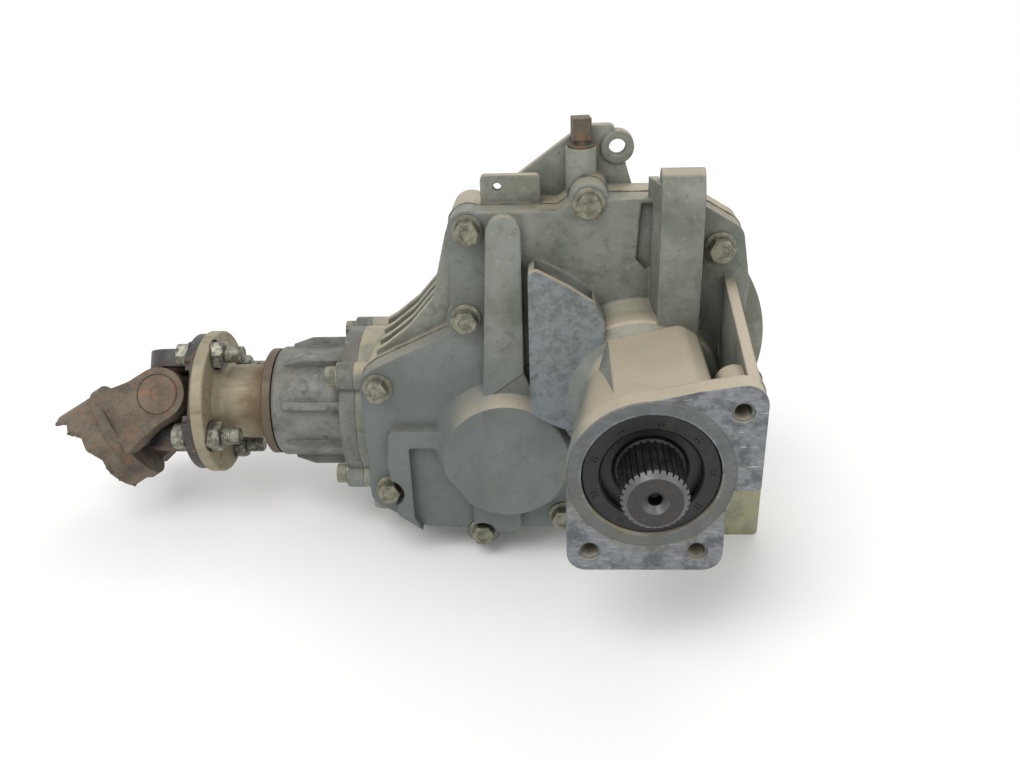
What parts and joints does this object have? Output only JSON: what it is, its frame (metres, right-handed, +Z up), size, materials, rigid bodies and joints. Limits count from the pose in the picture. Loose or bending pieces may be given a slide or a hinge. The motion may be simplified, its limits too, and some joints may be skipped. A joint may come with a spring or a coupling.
{
  "type": "transfer case",
  "caption": "Right-angle transfer case of cast aluminium with a splined output shaft, helical and bevel gears, a companion flange and a universal joint with a cut-off shaft tube.",
  "frame": {"origin": "on the output shaft's axis in the plane where the case meets the gearbox", "axes": "+Z up, +Y along the output axis into the gearbox, +X to the right as seen from the output side; the pinion leaves towards -X"},
  "size_m": [0.4532, 0.27, 0.2635],
  "materials": {
    "case_casting": "as-cast, dusty, olive tint",
    "cover_casting": "as-cast, dusty, with machined faces",
    "housing_casting": "as-cast, cleaner grey",
    "gasket": "grey sealing compound",
    "zinc_bolts": "dull olive zinc",
    "dull_bolts": "dark zinc, dirty threads",
    "rusty_plug": "rust over steel",
    "seal_rubber": "black nitrile rubber",
    "spline_steel": "dark hardened steel, bright chamfer",
    "gear_steel": "ground and oiled steel",
    "bush_bronze": "plain bronze",
    "rusty_flange": "light orange rust",
    "painted_yoke": "worn black paint with rust",
    "rusty_yoke": "heavy brown rust",
    "cap_steel": "steel with rust film",
    "bearing_steel": "ground bearing steel"
  },
  "bodies": {
    "case": {"main_case": "case_casting", "front_cover": "cover_casting", "cover_gasket": "gasket", "pinion_housing": "housing_casting", "cover_bolts": "zinc_bolts", "housing_bolts": "zinc_bolts", "ring_dowels": "gear_steel", "output_seal": "seal_rubber", "input_seal": "seal_rubber", "pinion_seal": "seal_rubber", "pilot_oring": "seal_rubber", "housing_oring": "seal_rubber", "pinion_shim": "gasket", "output_circlip": "gear_steel", "filler_plug": "rusty_plug", "drain_plug": "zinc_bolts", "input_back_outer_race": "bearing_steel", "input_front_outer_race": "bearing_steel", "output_outer_race": "bearing_steel", "counter_back_outer_race": "bearing_steel", "counter_front_outer_race": "bearing_steel", "pinion_head_outer_race": "bearing_steel", "pinion_tail_outer_race": "bearing_steel"},
    "output_shaft": {"output_shaft": "spline_steel", "output_inner_race": "bearing_steel"},
    "input_shaft": {"input_shaft": "spline_steel", "drive_gear": "gear_steel", "shaft_bush": "bush_bronze", "shaft_seal": "seal_rubber", "input_back_inner_race": "bearing_steel", "input_front_inner_race": "bearing_steel"},
    "counter_shaft": {"counter_shaft": "gear_steel", "driven_gear": "gear_steel", "ring_gear": "gear_steel", "ring_gear_bolts": "zinc_bolts", "counter_back_inner_race": "bearing_steel", "counter_front_inner_race": "bearing_steel"},
    "pinion": {"pinion_shaft": "gear_steel", "collapsible_spacer": "gear_steel", "pinion_head_inner_race": "bearing_steel", "pinion_tail_inner_race": "bearing_steel", "companion_flange": "rusty_flange", "dust_deflector": "rusty_flange", "pinion_nut": "gear_steel", "flange_yoke": "painted_yoke", "flange_yoke_caps": "cap_steel", "flange_bolts": "dull_bolts", "flange_nuts": "dull_bolts"},
    "cross": {"cross": "cap_steel"},
    "propshaft": {"weld_yoke": "rusty_yoke", "weld_yoke_caps": "cap_steel", "prop_tube": "rusty_yoke"},
    "input_back_rollers": {"input_back_rollers": "bearing_steel"},
    "input_front_rollers": {"input_front_rollers": "bearing_steel"},
    "output_rollers": {"output_rollers": "bearing_steel"},
    "counter_back_rollers": {"counter_back_rollers": "bearing_steel"},
    "counter_front_rollers": {"counter_front_rollers": "bearing_steel"},
    "pinion_head_rollers": {"pinion_head_rollers": "bearing_steel"},
    "pinion_tail_rollers": {"pinion_tail_rollers": "bearing_steel"}
  },
  "joints": [
    {"name": "counter_spin", "type": "hinge", "parent": "case", "child": "counter_shaft", "pos_m": [-0.075, -0.058, -0.044], "axis": [0, 1, 0], "continuous": true},
    {"name": "input_spin", "type": "hinge", "parent": "case", "child": "input_shaft", "pos_m": [0, -0.03, 0], "axis": [0, 1, 0], "continuous": true},
    {"name": "pinion_spin", "type": "hinge", "parent": "case", "child": "pinion", "pos_m": [-0.19, -0.022, -0.044], "axis": [-1, 0, 0], "continuous": true},
    {"name": "output_spin", "type": "hinge", "parent": "case", "child": "output_shaft", "pos_m": [0, -0.164, 0], "axis": [0, 1, 0], "continuous": true},
    {"name": "input_back_roll", "type": "hinge", "parent": "case", "child": "input_back_rollers", "pos_m": [0, -0.016, 0], "axis": [0, 1, 0], "continuous": true},
    {"name": "input_front_roll", "type": "hinge", "parent": "case", "child": "input_front_rollers", "pos_m": [0, -0.0898, 0], "axis": [0, 1, 0], "continuous": true},
    {"name": "output_roll", "type": "hinge", "parent": "case", "child": "output_rollers", "pos_m": [0, -0.164, 0], "axis": [0, 1, 0], "continuous": true},
    {"name": "counter_back_roll", "type": "hinge", "parent": "case", "child": "counter_back_rollers", "pos_m": [-0.075, -0.0135, -0.044], "axis": [0, 1, 0], "continuous": true},
    {"name": "counter_front_roll", "type": "hinge", "parent": "case", "child": "counter_front_rollers", "pos_m": [-0.075, -0.0885, -0.044], "axis": [0, 1, 0], "continuous": true},
    {"name": "pinion_head_roll", "type": "hinge", "parent": "case", "child": "pinion_head_rollers", "pos_m": [-0.136, -0.022, -0.044], "axis": [-1, 0, 0], "continuous": true},
    {"name": "pinion_tail_roll", "type": "hinge", "parent": "case", "child": "pinion_tail_rollers", "pos_m": [-0.208, -0.022, -0.044], "axis": [-1, 0, 0], "continuous": true},
    {"name": "cross_swing", "type": "hinge", "parent": "pinion", "child": "cross", "pos_m": [-0.298, -0.022, -0.044], "axis": [0, 0.5878, 0.809], "range_deg": [-12, 12]},
    {"name": "yoke_swing", "type": "hinge", "parent": "cross", "child": "propshaft", "pos_m": [-0.298, -0.022, -0.044], "axis": [0, 0.809, -0.5878], "range_deg": [0, 66]}
  ],
  "couplings": [
    {"joint": "input_spin", "follows": "counter_spin", "ratio": -0.73913},
    {"joint": "pinion_spin", "follows": "counter_spin", "ratio": 2.3846},
    {"joint": "input_back_roll", "follows": "counter_spin", "ratio": -0.32181},
    {"joint": "input_front_roll", "follows": "counter_spin", "ratio": -0.32181},
    {"joint": "output_roll", "follows": "output_spin", "ratio": 0.42206},
    {"joint": "counter_back_roll", "follows": "counter_spin", "ratio": 0.41722},
    {"joint": "counter_front_roll", "follows": "counter_spin", "ratio": 0.42834},
    {"joint": "pinion_head_roll", "follows": "counter_spin", "ratio": 1.0219},
    {"joint": "pinion_tail_roll", "follows": "counter_spin", "ratio": 1.0206}
  ]
}
